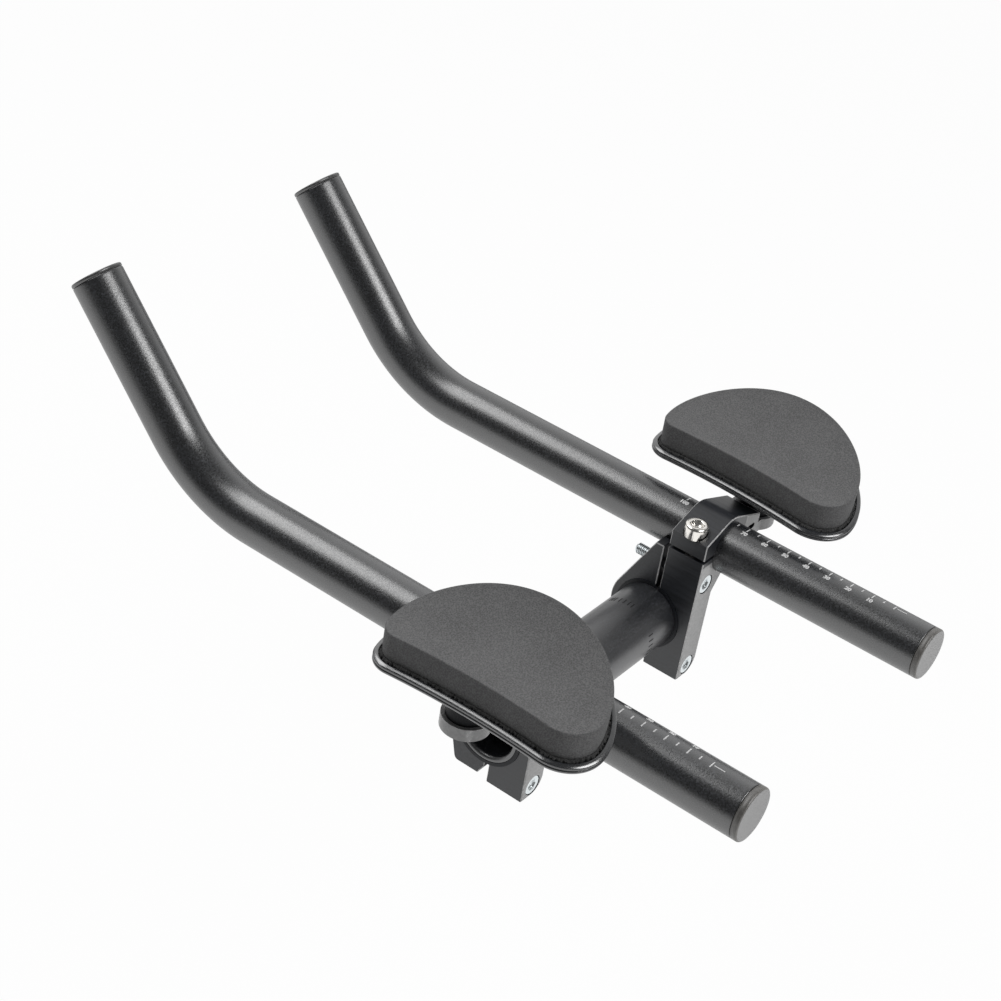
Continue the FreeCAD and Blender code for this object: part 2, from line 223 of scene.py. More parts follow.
def bar_path():
    """Centre line of a bar in its own (y, z) plane: straight, an arc of BEND_R, straight again.

    The points lie close together near both ends, where the wall's edge is rounded.
    """
    clear = 1.0
    near = BAR_EDGE * (1 - np.cos(np.linspace(0, np.pi / 2, 6)))
    turn = np.linspace(0, BEND_ANGLE, 40)
    straight = np.concatenate([BAR_REAR + near, np.linspace(BAR_REAR + clear, BEND_START, 12)[:-1]])
    run = np.concatenate([np.linspace(0, TIP_RUN - clear, 7)[1:], TIP_RUN - near[::-1]])
    slope = np.concatenate([np.zeros(len(straight)), turn, np.full(len(run), BEND_ANGLE)])
    y = np.concatenate([straight, BEND_START + BEND_R * np.sin(turn)])
    z = np.concatenate([np.full(len(straight), BAR_Z), BAR_Z + BEND_R * (1 - np.cos(turn))])
    y = np.concatenate([y, y[-1] + run * np.cos(BEND_ANGLE)])
    z = np.concatenate([z, z[-1] + run * np.sin(BEND_ANGLE)])
    return y, z, slope


def make_bars(finish):
    """Both bent tubes: a circle carried along the path at the outer radius, and back at the inner one.

    Within BAR_EDGE of an end the outer radius falls by a quarter circle.
    """
    y, z, slope = bar_path()
    length = np.concatenate([[0.0], np.cumsum(np.hypot(np.diff(y), np.diff(z)))])
    to_end = np.minimum(np.minimum(length, length[-1] - length), BAR_EDGE)
    outer = BAR_R - BAR_EDGE + np.sqrt(np.clip(BAR_EDGE ** 2 - (BAR_EDGE - to_end) ** 2, 0, None))
    angle = np.linspace(0, 2 * np.pi, AROUND, endpoint=False)[None, :, None]
    up = np.stack([np.zeros_like(y), -np.sin(slope), np.cos(slope)], axis=-1)[:, None, :]
    circle = np.cos(angle) * X_AXIS + np.sin(angle) * up
    for name, sign in SIDES.items():
        path = np.stack([np.full_like(y, sign * BAR_X), y, z], axis=-1)[:, None, :]
        outside = path + outer[:, None, None] * circle
        inside = path + (BAR_R - BAR_WALL) * circle
        wall = np.concatenate([outside, inside[::-1]])
        piece = make_piece(f"{name}_bent_tube", *skin(wall, ring=True), finish, "tube_black")
        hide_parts(f"{name}_extension_bar")


def make_cross_tube(finish):
    """The straight tube: a wall section with a small outer and a large inner round at each end, about X."""
    inner_r = CROSS_R - CROSS_WALL
    end = np.vstack([
        quarter(CROSS_R - CROSS_OUTER_EDGE, CROSS_END - CROSS_OUTER_EDGE, CROSS_OUTER_EDGE, 0, 90, 5),
        quarter(inner_r + CROSS_INNER_EDGE, CROSS_END - CROSS_INNER_EDGE, CROSS_INNER_EDGE, 90, 180, 12),
    ])
    other = end[::-1] * np.array([1.0, -1.0])
    run = np.linspace(-CROSS_RUN, CROSS_RUN, 11)
    inside = np.stack([np.full_like(run, inner_r), run[::-1]], axis=-1)
    outside = np.stack([np.full_like(run, CROSS_R), run], axis=-1)
    section = np.vstack([outside, end, inside, other])
    rows = turned(section, (0, 0, 0), X_AXIS, Y_AXIS, Z_AXIS, around=128)
    piece = make_piece("cross_tube_wall", *skin(rows, ring=True), finish, "tube_black")
    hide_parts("cross_tube")


def plug_profile(lip, edge):
    """A bevelled spigot, a shadow gap, a lip out to the tube's radius with a rounded rim, and a dished face.

    The face sinks by dish_depth (1 - (r / rim)^2).
    """
    dish_depth = 0.15
    gap_r = BAR_R - 0.35
    rim = BAR_R - edge
    dish = np.linspace(rim, 0.4, 9)
    face = np.stack([dish, lip - dish_depth * (1 - (dish / rim) ** 2)], axis=-1)
    foot = [[0.5, -PLUG_DEPTH], [PLUG_R - 0.5, -PLUG_DEPTH], [PLUG_R, -PLUG_DEPTH + 0.6], [PLUG_R, -0.02]]
    seat = [[gap_r, 0.0], [gap_r, 0.18], [BAR_R, 0.3]]
    return np.vstack([foot, seat, quarter(rim, lip - edge, edge, 0, 90), face[1:]])


def make_plugs(rear_finish, front_finish):
    """End plugs: lathed pieces in line with each end of the bar."""
    y, z, slope = bar_path()
    rise = np.array([0.0, np.cos(BEND_ANGLE), np.sin(BEND_ANGLE)])
    lift = np.array([0.0, -np.sin(BEND_ANGLE), np.cos(BEND_ANGLE)])
    for name, sign in SIDES.items():
        rear_end = (sign * BAR_X, BAR_REAR, BAR_Z)
        rows = turned(plug_profile(*REAR_LIP), rear_end, -Y_AXIS, X_AXIS, Z_AXIS)
        piece = make_piece(f"{name}_rear_end_plug", *skin(rows), rear_finish, "plug_black")
        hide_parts(f"{name}_rear_plug")
        tip = (sign * BAR_X, y[-1], z[-1])
        rows = turned(plug_profile(*FRONT_LIP), tip, rise, X_AXIS, lift)
        piece = make_piece(f"{name}_front_end_plug", *skin(rows), front_finish, "plug_black")
        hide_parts(f"{name}_front_plug")


# Length scale on the bars

def scale_marks(along, across, width, length):
    """Thin strips in the flat (u along the bar, v round it, w out): five sections of four corners each."""
    v = np.linspace(-0.5, 0.5, 5)[None, :, None] * np.asarray(length)[:, None, None] + across
    u = np.asarray(along)[:, None, None] + np.array([-0.5, 0.5, 0.5, -0.5])[None, None, :] * width
    w = PRINT_HALF * np.array([-1.0, -1.0, 1.0, 1.0])[None, None, :]
    points = np.stack(np.broadcast_arrays(u, v, w), axis=-1)
    index = np.arange(points[..., 0].size).reshape(points.shape[:3])
    near, far = index[:, :-1], index[:, 1:]
    sides = np.stack([near, np.roll(near, -1, axis=2), np.roll(far, -1, axis=2), far], axis=-1)
    ends = np.vstack([index[:, 0, ::-1], index[:, -1]])
    return points.reshape(-1, 3), np.vstack([sides.reshape(-1, 4), ends]).tolist()


def scale_number(body, along, across):
    """A number made a mesh lying in the flat (u, v, w), read along u with its foot at lower v."""
    curve = bpy.data.curves.new("number", "FONT")
    curve.body = body
    curve.size = NUMBER_HEIGHT * 1.4
    curve.extrude = PRINT_HALF
    curve.offset = 0.08 * NUMBER_HEIGHT
    curve.resolution_u = 3
    curve.align_x = "CENTER"
    curve.align_y = "CENTER"
    holder = bpy.data.objects.new("number", curve)
    mesh = bpy.data.meshes.new_from_object(holder)
    points = np.empty(len(mesh.vertices) * 3)
    mesh.vertices.foreach_get("co", points)
    mesh.calc_loop_triangles()
    triangles = np.empty(len(mesh.loop_triangles) * 3, dtype=np.int32)
    mesh.loop_triangles.foreach_get("vertices", triangles)
    bpy.data.objects.remove(holder)
    bpy.data.curves.remove(curve)
    bpy.data.meshes.remove(mesh)
    return points.reshape(-1, 3) + np.array([along, across, 0.0]), triangles.reshape(-1, 3).tolist()


def make_scales(finish):
    """White marks each 5 mm and numbers each 10 mm, wrapped round the bar by angle = v / radius.

    The stretch under the clamp is left bare.
    """
    steps = np.concatenate([np.arange(0, 76, 5), np.arange(90, 101, 5)])
    numbers = list(range(10, 80, 10)) + [100]
    length = np.where(steps % 10 == 0, LONG_MARK, SHORT_MARK)
    for name, sign in SIDES.items():
        middle = SCALE_TURN[name] * BAR_R
        beside = middle - sign * NUMBER_REACH[name]
        parts = [
            scale_marks(-(SCALE_ZERO + steps), middle, MARK_WIDTH, length),
            scale_marks([DASH_BEHIND - SCALE_ZERO], middle, DASH_LENGTH, [DASH_WIDTH]),
        ]
        parts += [scale_number(str(value), -(SCALE_ZERO + value), beside) for value in numbers]
        points, faces = joined(parts)
        u, v, w = points.T
        angle = v / BAR_R
        out = BAR_R + SCALE_LIFT + w
        wrapped = np.stack([sign * BAR_X + out * np.sin(angle), -u, BAR_Z + out * np.cos(angle)], axis=-1)
        make_piece(f"{name}_length_scale", wrapped, faces, finish, "tube_black", smooth=False)


def make_cross_marks(finish):
    """Short dark strips across the tube beside the right clamp, wrapped by angle = -u / radius."""
    along = -np.radians(CROSS_MARK_DEGREES) * CROSS_R
    length = np.full(len(along), CROSS_MARK_LENGTH)
    points, faces = scale_marks(along, CROSS_MARK_X, MARK_WIDTH, length)
    u, v, w = points.T
    out = CROSS_R + CROSS_MARK_LIFT + w
    angle = -u / CROSS_R
    wrapped = np.stack([v, out * np.sin(angle), out * np.cos(angle)], axis=-1)
    make_piece("cross_tube_marks", wrapped, faces, finish, "tube_black", smooth=False)


# Screws

def hex_radius(key, angle):
    """Distance from the middle to the side of a hexagon with the given width across flats."""
    return key / 2 / np.cos(np.mod(angle, np.pi / 3) - np.pi / 6)


def screw_rows(seat, axis, side, up, head, socket, shank):
    """A socket head screw as rows of radius and distance along its axis, both a function of the turn angle.

    The shank's radius falls and rises once a pitch along a helix, the head's side is knurled by a cosine, its
    top edge is a quarter circle, and the socket is a hexagon.
    """
    head_r, head_h, crown, flutes = head
    key, depth = socket
    shank_r, length, pitch = shank
    middle = 0.3
    chamfer = 0.35
    knurl_depth = 0.1
    tip_bevel = 0.9
    thread_share = 0.55
    angle = np.linspace(0, 2 * np.pi, AROUND, endpoint=False)
    along = np.arange(-length, -0.2, pitch / 8)[:, None]
    helix = np.mod(along / pitch - angle[None] / (2 * np.pi), 1.0)
    fade = np.minimum(1.0, (along + length) / pitch)
    thread = shank_r - thread_share * pitch * np.abs(helix - 0.5) * fade
    thread = np.minimum(thread, shank_r - tip_bevel + (along + length))
    radius = [np.full((1, AROUND), middle), thread]
    height = [np.full((1, AROUND), -length), np.broadcast_to(along, thread.shape)]

    def add(ring_radius, ring_height):
        """One more row all round."""
        radius.append(np.broadcast_to(ring_radius, (1, AROUND)))
        height.append(np.full((1, AROUND), ring_height))

    add(shank_r, -0.1)
    add(shank_r, 0.0)
    add(head_r - chamfer, 0.0)
    knurl = head_r - knurl_depth * (1 + np.cos(flutes * angle))
    add(knurl, chamfer)
    add(knurl, 0.6 * (head_h - crown))
    add(head_r, 0.7 * (head_h - crown))
    for turn in np.linspace(0, np.pi / 2, 7):
        add(head_r - crown * (1 - np.cos(turn)), head_h - crown * (1 - np.sin(turn)))
    mouth = hex_radius(key, angle)
    add(key / 2 / np.cos(np.pi / 6) + chamfer, head_h)
    add(mouth, head_h - 0.3)
    add(mouth, head_h - depth)
    add(middle, head_h - depth - chamfer)
    radius, height = np.vstack(radius), np.vstack(height)
    circle = np.cos(angle)[:, None] * np.asarray(side) + np.sin(angle)[:, None] * np.asarray(up)
    return np.asarray(seat) + height[..., None] * np.asarray(axis) + radius[..., None] * circle[None]


def make_screws(pinch_finish, bolt_finish):
    """Pinch screws down through the straps, and two bolts a side through the clamps."""
    pinch_x, pinch_y, pinch_z = PINCH_SEAT
    for name, sign in SIDES.items():
        rows = screw_rows((sign * pinch_x, pinch_y, pinch_z), Z_AXIS, X_AXIS, Y_AXIS, **PINCH_SCREW)
        piece = make_piece(f"{name}_strap_screw", *skin(rows), pinch_finish, "screw_zinc")
        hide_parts(f"{name}_pinch_screw")
        bolts = []
        for level in BOLT_LEVELS:
            seat = (sign * BOLT_X, BOLT_SEAT_Y, level)
            bolts.append(skin(screw_rows(seat, -Y_AXIS, X_AXIS, Z_AXIS, **CLAMP_BOLT)))
        piece = make_piece(f"{name}_clamp_screws", *joined(bolts), bolt_finish, "screw_zinc")
        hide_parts(f"{name}_clamp_bolts")


# Arm rests

def unit(vectors):
    """Each row divided by its length."""
    return vectors / np.linalg.norm(vectors, axis=1)[:, None]


def ellipse(theta):
    """The rest's round side: points (a cos t, b sin t) and outward normals along (cos t / a, sin t / b)."""
    half_x, half_y = ROUND_HALF
    points = np.stack([ROUND_X + half_x * np.cos(theta), half_y * np.sin(theta)], axis=-1)
    return points, unit(np.stack([np.cos(theta) / half_x, np.sin(theta) / half_y], axis=-1))


def half_outline(corner):
    """Points and outward normals of one half of the rest's outline, from its far apex to its near middle.

    An ellipse, then a corner arc, then a shallow waist circle. The corner's centre lies one corner radius
    inside the ellipse and one outside the waist circle.
    """
    waist_x = WAIST_IN - WAIST_R
    theta = np.linspace(np.pi / 3, np.pi, 6000)
    points, normal = ellipse(theta)
    inside = points - corner * normal
    gap = np.hypot(inside[:, 0] - waist_x, inside[:, 1]) - (WAIST_R + corner)
    meet = np.argmax(gap < 0)
    centre = inside[meet]
    far_points, far_normal = ellipse(np.linspace(0, theta[meet], 600))
    begin = np.arctan2(normal[meet, 1], normal[meet, 0])
    end = np.arctan2(-centre[1], waist_x - centre[0]) % (2 * np.pi)
    bend = np.linspace(begin, end, 160)[1:]
    bend_normal = np.stack([np.cos(bend), np.sin(bend)], axis=-1)
    bend_points = centre + corner * bend_normal
    last = np.arctan2(bend_points[-1, 1], bend_points[-1, 0] - waist_x)
    near = np.linspace(last, 0, 300)[1:]
    near_normal = -np.stack([np.cos(near), np.sin(near)], axis=-1)
    near_points = np.array([waist_x, 0.0]) - WAIST_R * near_normal
    outline = np.vstack([far_points, bend_points, near_points])
    outward = np.vstack([far_normal, bend_normal, near_normal])
    return outline, outward


def rest_outline(count=480):
    """The whole outline, evenly spaced: the front half, then the rear half mirrored and run backwards."""
    front_points, front_normals = half_outline(FRONT_CORNER)
    rear_points, rear_normals = half_outline(REAR_CORNER)
    mirror = np.array([1.0, -1.0])
    points = np.vstack([front_points, rear_points[-2:0:-1] * mirror])
    normals = np.vstack([front_normals, rear_normals[-2:0:-1] * mirror])
    step = np.linalg.norm(np.roll(points, -1, axis=0) - points, axis=1)
    length = np.concatenate([[0.0], np.cumsum(step)])
    place = np.linspace(0, length[-1], count, endpoint=False)
    closed_points = np.vstack([points, points[:1]])
    closed_normals = np.vstack([normals, normals[:1]])
    points = np.stack([np.interp(place, length, closed_points[:, i]) for i in range(2)], axis=-1)
    normals = np.stack([np.interp(place, length, closed_normals[:, i]) for i in range(2)], axis=-1)
    return points, unit(normals)


def rest_rows(name, flat, height):
    """Lay flat points (rows, around, 2) on the dish: z = axis z - sqrt((cup radius - height)^2 - x^2)."""
    height = np.broadcast_to(height, flat.shape[:2])
    x, y = flat[..., 0], flat[..., 1]
    z = CUP_AXIS_Z - np.sqrt((CUP_R - height) ** 2 - x ** 2)
    place_x, place_y, turn = REST_PLACE[name]
    cos, sin = np.cos(np.radians(turn)), np.sin(np.radians(turn))
    return np.stack([place_x + cos * x - sin * y, place_y + sin * x + cos * y, z], axis=-1)


def drawn_in(rim):
    """Rows of a closed body: its edge rows, with the first and the last also drawn in to the rest's heart.

    Also gives the shares of the edge's distance that the drawn rows keep, from the edge inwards.
    """
    shrink = np.linspace(1, 0.03, 28)[1:]
    under = REST_HEART + shrink[::-1, None, None] * (rim[0] - REST_HEART)
    over = REST_HEART + shrink[:, None, None] * (rim[-1] - REST_HEART)
    return np.concatenate([under, rim, over]), shrink


def waves(count, seed, sizes):
    """A closed ripple round an outline: a sum of sines with seeded whole wave counts and seeded phases."""
    each = 10
    rng = np.random.default_rng(seed)
    turn = np.linspace(0, 2 * np.pi, count, endpoint=False)
    total = np.zeros(count)
    for low, high, size in sizes:
        number = rng.integers(low, high, each)
        phase = rng.uniform(0, 2 * np.pi, each)
        total += size * np.sin(turn[:, None] * number[None] + phase[None]).sum(axis=1) / np.sqrt(each)
    return total


def make_pads(finish):
    """Foam pads: foot, upright wall tucked in near its foot, small rounded edge, and a slightly swelling top.

    The tuck is 1 - sin(pi t)^0.7 over the lower half of the wall. The top falls from its middle by the
    square of the distance.
    """
    points, normals = rest_outline()
    bow = np.linspace(0, 1, 9)
    wall_in = -PAD_TUCK * (1 - np.sin(np.pi * bow) ** 0.7) * np.where(bow < 0.5, 1.0, 0.0)
    wall_up = PAD_FOOT + PAD_TUCK + bow * (PAD_TOP - PAD_EDGE - PAD_FOOT - PAD_TUCK)
    arc = np.radians(np.linspace(0, 90, 9))[1:]
    offset = np.concatenate([[-PAD_FOOT_IN], wall_in, -PAD_EDGE * (1 - np.cos(arc))])
    foot = PAD_FOOT + PAD_INSET
    height = np.concatenate([[foot], wall_up, PAD_TOP - PAD_EDGE + PAD_EDGE * np.sin(arc)])
    flat, shrink = drawn_in(points[None] + offset[:, None, None] * normals[None])
    top = PAD_TOP - PAD_INSET - PAD_SWELL * shrink ** 2
    rise = np.concatenate([np.full(len(shrink), foot), height, top])
    for name in SIDES:
        rows = rest_rows(name, flat, rise[:, None])
        piece = make_piece(f"{name}_foam_pad", *skin(rows), finish, "pad_foam")
        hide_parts(f"{name}_arm_pad")


def make_tape(finish):
    """The frayed edge of the tape: a band round the pad's foot, its outer face moved in and out by waves."""
    count = 960
    points, normals = rest_outline(count)
    offset, fray_share, height, lift_share, size_share = TAPE_ROWS.T[:, :, None]
    for name in SIDES:
        fray = waves(count, TAPE_SEED[name], FRAY_WAVES)
        lift = waves(count, TAPE_SEED[name] + 1, LIFT_WAVES)
        flat = points[None] + (offset + fray_share * fray)[..., None] * normals[None]
        rows = rest_rows(name, flat, height + lift_share * lift + size_share * np.abs(lift))
        piece = make_piece(f"{name}_tape_edge", *skin(rows, ring=True), finish, "tape_black")
        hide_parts(f"{name}_hook_sheet", f"{name}_loop_sheet")


def slot_flat(radius):
    """Round-ended outlines about the slanted slot: half circles of each radius, moved apart along it."""
    angle = (np.arange(64) + 0.5) * np.pi / 32
    across = np.asarray(radius)[:, None] * np.cos(angle)
    along = np.asarray(radius)[:, None] * np.sin(angle) + np.sign(np.sin(angle)) * SLOT_HALF
    cos, sin = np.cos(SLOT_TURN), np.sin(SLOT_TURN)
    x = SLOT_PLACE[0] + cos * across - sin * along
    y = SLOT_PLACE[1] + sin * across + cos * along
    return np.stack([x, y], axis=-1)


def make_trays(finish):
    """Dished trays: a closed plate of the rest's outline, and under it a boss with a stepped screw slot.

    A level of the boss becomes a height over the dish: cup radius - hypot(axis height - level, x).
    """
    points, normals = rest_outline()
    offset, height = TRAY_ROWS.T
    plate, shrink = drawn_in(points[None] + offset[:, None, None] * normals[None])
    under, floor = np.full(len(shrink), height[0]), np.full(len(shrink), height[-1])
    plate_height = np.concatenate([under, height, floor])
    boss_rows = np.array([
        (BOSS_R, BOSS_FOOT + BOSS_EDGE),
        (BOSS_R - BOSS_EDGE, BOSS_FOOT),
        (SLOT_R + SLOT_EDGE, BOSS_FOOT),
        (SLOT_R, BOSS_FOOT + SLOT_EDGE),
        (SLOT_R, SCREW_SEAT_Z),
        (RECESS_R, SCREW_SEAT_Z),
    ])
    radius, level = boss_rows.T
    boss = slot_flat(np.concatenate([[BOSS_R], radius, [RECESS_R]]))
    sunk = np.full((1, boss.shape[1]), BOSS_SUNK)
    boss_height = CUP_R - np.hypot(CUP_AXIS_Z - level[:, None], boss[1:-1, :, 0])
    boss_height = np.vstack([sunk, boss_height, sunk])
    for name in SIDES:
        plate_mesh = skin(rest_rows(name, plate, plate_height[:, None]))
        boss_mesh = skin(rest_rows(name, boss, boss_height), ring=True)
        piece = make_piece(f"{name}_tray", *joined([plate_mesh, boss_mesh]), finish, "tray_black")
        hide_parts(f"{name}_rest_plate")


def make_tray_beads(finish):
    """Moulded rim of the tray: a broad sloping lip over a half-round, with a groove between, carried round.

    Each arc is centre + radius (sin a, cos a), where a is the lean of the face from upright to outwards.
    """
    def arc(out, up, radius, start, end, steps):
        """Points of one arc, its leans in degrees."""
        lean = np.radians(np.linspace(start, end, steps))
        return np.stack([out + radius * np.sin(lean), up + radius * np.cos(lean)], axis=-1)

    points, normals = rest_outline(720)
    inner = [[1.0, -0.1], [1.0, 0.85], [1.12, 1.03]]
    lip = np.vstack([arc(0.9, -1.8, 2.9, 10, 46, 16), arc(2.8, 0.04, 0.25, 50, 140, 8)])
    groove = [[2.74, -0.45]]
    half_round = arc(2.25, -1.62, 0.85, 40, 230, 24)
    back = [[1.4, -1.2]]
    offset, height = np.vstack([inner, lip, groove, half_round, back]).T
    flat = points[None] + offset[:, None, None] * normals[None]
    for name in SIDES:
        rows = rest_rows(name, flat, height[:, None])
        make_piece(f"{name}_tray_bead", *skin(rows, ring=True), finish, "tray_black")


# Shader nodes

def new_group(name, inputs, outputs):
    """An empty shader group with named sockets: inputs as (name, type, value), outputs as (name, type)."""
    group = bpy.data.node_groups.new(name, "ShaderNodeTree")
    for label, kind, value in inputs:
        socket = group.interface.new_socket(label, in_out="INPUT", socket_type=kind)
        if value is not None:
            socket.default_value = value
    for label, kind in outputs:
        group.interface.new_socket(label, in_out="OUTPUT", socket_type=kind)
    return group, group.nodes.new("NodeGroupInput"), group.nodes.new("NodeGroupOutput")


def feed(tree, socket, value):
    """Set a socket to a number or a colour, or link it to another node's output."""
    if isinstance(value, (int, float, tuple)):
        socket.default_value = value
    else:
        tree.links.new(value, socket)


def noise_node(tree, vector, scale, detail, rough=0.6):
    """Noise of the given scale."""
    node = tree.nodes.new("ShaderNodeTexNoise")
    node.inputs["Detail"].default_value = detail
    node.inputs["Roughness"].default_value = rough
    feed(tree, node.inputs["Vector"], vector)
    feed(tree, node.inputs["Scale"], scale)
    return node.outputs["Fac"]


def range_node(tree, value, low, high, to_low, to_high):
    """A value taken from one range to another and held at its ends."""
    node = tree.nodes.new("ShaderNodeMapRange")
    feed(tree, node.inputs["Value"], value)
    for label, bound in (("From Min", low), ("From Max", high), ("To Min", to_low), ("To Max", to_high)):
        feed(tree, node.inputs[label], bound)
    return node.outputs["Result"]


def math_node(tree, kind, first, second=0.0):
    """One sum of two values; ABSOLUTE takes the first alone."""
    node = tree.nodes.new("ShaderNodeMath")
    node.operation = kind
    feed(tree, node.inputs[0], first)
    feed(tree, node.inputs[1], second)
    return node.outputs["Value"]


def weighted(tree, first, share, second):
    """share times the first value and the rest of the second."""
    part = math_node(tree, "MULTIPLY", first, share)
    return math_node(tree, "ADD", part, math_node(tree, "MULTIPLY", second, 1.0 - share))


def mix_node(tree, factor, first, second):
    """A colour between two others."""
    node = tree.nodes.new("ShaderNodeMix")
    node.data_type = "RGBA"
    feed(tree, node.inputs["Factor"], factor)
    for label, colour in (("A", first), ("B", second)):
        feed(tree, next(s for s in node.inputs if s.name == label and s.type == "RGBA"), colour)
    return next(s for s in node.outputs if s.type == "RGBA")


def group_node(tree, group, **inputs):
    """A copy of a group in a tree, with its named inputs fed."""
    node = tree.nodes.new("ShaderNodeGroup")
    node.node_tree = group
    for label, value in inputs.items():
        feed(tree, node.inputs[label], value)
    return node


# Shader groups: surfaces

GRAIN_IN = [
    ("Vector", "NodeSocketVector", None),
    ("Size", "NodeSocketFloat", 1000.0),
    ("Dark", "NodeSocketColor", (0.02, 0.02, 0.02, 1)),
    ("Light", "NodeSocketColor", (0.1, 0.1, 0.1, 1)),
    ("Smooth", "NodeSocketFloat", 0.3),
    ("Rough", "NodeSocketFloat", 0.5),
]
GRAIN_OUT = [("Colour", "NodeSocketColor"), ("Roughness", "NodeSocketFloat"), ("Height", "NodeSocketFloat")]
MILLED_END_SHEEN_IN = [
    ("Along", "NodeSocketFloat", 0.0),
    ("Where", "NodeSocketFloat", 1.0),
    ("All Round", "NodeSocketFloat", 0.0),
    ("Plain", "NodeSocketColor", (0.02, 0.02, 0.02, 1)),
    ("Milled", "NodeSocketColor", (0.3, 0.3, 0.3, 1)),
    ("Bare", "NodeSocketColor", (0.6, 0.6, 0.6, 1)),
]
MILLED_SIZE = 900.0
SHEEN_SIZE = 700.0
BEVEL_ALONG = 0.7071


def finish_grain(group, source, sink, tone, grain):
    """Outputs of a grain group: the tone mixes its colours, the grain gives the roughness and the height."""
    colour = mix_node(group, tone, source.outputs["Dark"], source.outputs["Light"])
    rough = range_node(group, grain, 0.3, 0.7, source.outputs["Smooth"], source.outputs["Rough"])
    group.links.new(colour, sink.inputs["Colour"])
    group.links.new(rough, sink.inputs["Roughness"])
    group.links.new(grain, sink.inputs["Height"])
    return group


def blasted_group():
    """Blasted metal: fine noise gives pale flecks and moves the roughness, a broad noise drifts the tone."""
    group, source, sink = new_group("blasted grain", GRAIN_IN, GRAIN_OUT)
    fine = noise_node(group, source.outputs["Vector"], source.outputs["Size"], 2.0)
    broad = noise_node(group, source.outputs["Vector"], 22.0, 3.0)
    fleck = range_node(group, fine, 0.5, 0.78, 0.0, 0.9)
    drift = range_node(group, broad, 0.3, 0.7, -0.08, 0.14)
    return finish_grain(group, source, sink, math_node(group, "ADD", fleck, drift), fine)


def drawn_group():
    """Drawn lines: noise on a vector that the material has stretched along the lines, with a broad drift."""
    group, source, sink = new_group("drawn lines", GRAIN_IN, GRAIN_OUT)
    lines = noise_node(group, source.outputs["Vector"], source.outputs["Size"], 3.0, 0.7)
    broad = noise_node(group, source.outputs["Vector"], 9.0, 2.0)
    tone = range_node(group, weighted(group, lines, 0.7, broad), 0.32, 0.68, 0.0, 1.0)
    return finish_grain(group, source, sink, tone, lines)


def foam_group():
    """Closed-cell foam: cells from a Voronoi distance and fine noise, with soft cloudy drift of the tone."""
    group, source, sink = new_group("foam cells", GRAIN_IN, GRAIN_OUT)
    cells = group.nodes.new("ShaderNodeTexVoronoi")
    feed(group, cells.inputs["Vector"], source.outputs["Vector"])
    feed(group, cells.inputs["Scale"], source.outputs["Size"])
    fine = noise_node(group, source.outputs["Vector"], source.outputs["Size"], 2.0)
    cloud = noise_node(group, source.outputs["Vector"], 45.0, 3.0)
    pits = range_node(group, cells.outputs["Distance"], 0.1, 0.8, 0.0, 1.0)
    grain = weighted(group, pits, 0.35, fine)
    drift = range_node(group, cloud, 0.3, 0.7, -0.1, 0.1)
    tone = math_node(group, "ADD", range_node(group, grain, 0.3, 0.7, 0.1, 0.9), drift)
    return finish_grain(group, source, sink, tone, grain)


GRAINS = {"blasted": blasted_group(), "drawn": drawn_group(), "foam": foam_group()}


def milled_group():
    """Sawn ends: the end colour where a face looks along the saw's axis, and a painted highlight on the bevel
    faces.

    Along is the normal's part along that axis: its size is near 1 on the ends and BEVEL_ALONG on the bevel
    faces.
    Where limits the ends, and All Round adds faces that take the end colour whichever way they face.
    """
    group, source, sink = new_group("end tones and edge sheen", MILLED_END_SHEEN_IN, [("Colour", "NodeSocketColor")])
    given = source.outputs
    square = math_node(group, "ABSOLUTE", given["Along"])
    ends = math_node(group, "MULTIPLY", range_node(group, square, 0.88, 0.97, 0.0, 1.0), given["Where"])
    ends = math_node(group, "MAXIMUM", ends, given["All Round"])
    from_bevel = math_node(group, "ABSOLUTE", math_node(group, "SUBTRACT", square, BEVEL_ALONG))
    # The bevel faces get the pale colour: a painted highlight along the edges.
    bevel_sheen = range_node(group, from_bevel, 0.03, 0.12, 1.0, 0.0)
    colour = mix_node(group, ends, given["Plain"], given["Milled"])
    group.links.new(mix_node(group, bevel_sheen, colour, given["Bare"]), sink.inputs["Colour"])
    return group


MILLED_END_SHEEN = milled_group()


# Finishes

PLAIN = (1.0, 1.0, 1.0)
BLUE = (0.86, 0.96, 1.2)
FOAM = (1.0, 1.0, 1.01)
WARM = (1.05, 1.0, 0.93)
ZINC = (1.0, 0.97, 0.92)
BLUE_ZINC = (0.92, 0.98, 1.0)

# Where the clamp's end faces take the pale end colour, a painted reflection, in metres: below the slit, from
# the wing outwards, and all round the lug
SLIT_Z = 0.0345
SLIT_FADE = 0.0003
WING_X = 0.079
LUG_X = 0.0905
WING_FADE = 0.0006


def grey(value, tint=PLAIN):
    """A tinted grey as a colour."""
    return tuple(value * part for part in tint) + (1.0,)


def shader_of(finish):
    """The material's own shader node."""
    return next(n for n in finish.node_tree.nodes if n.type == "BSDF_PRINCIPLED")


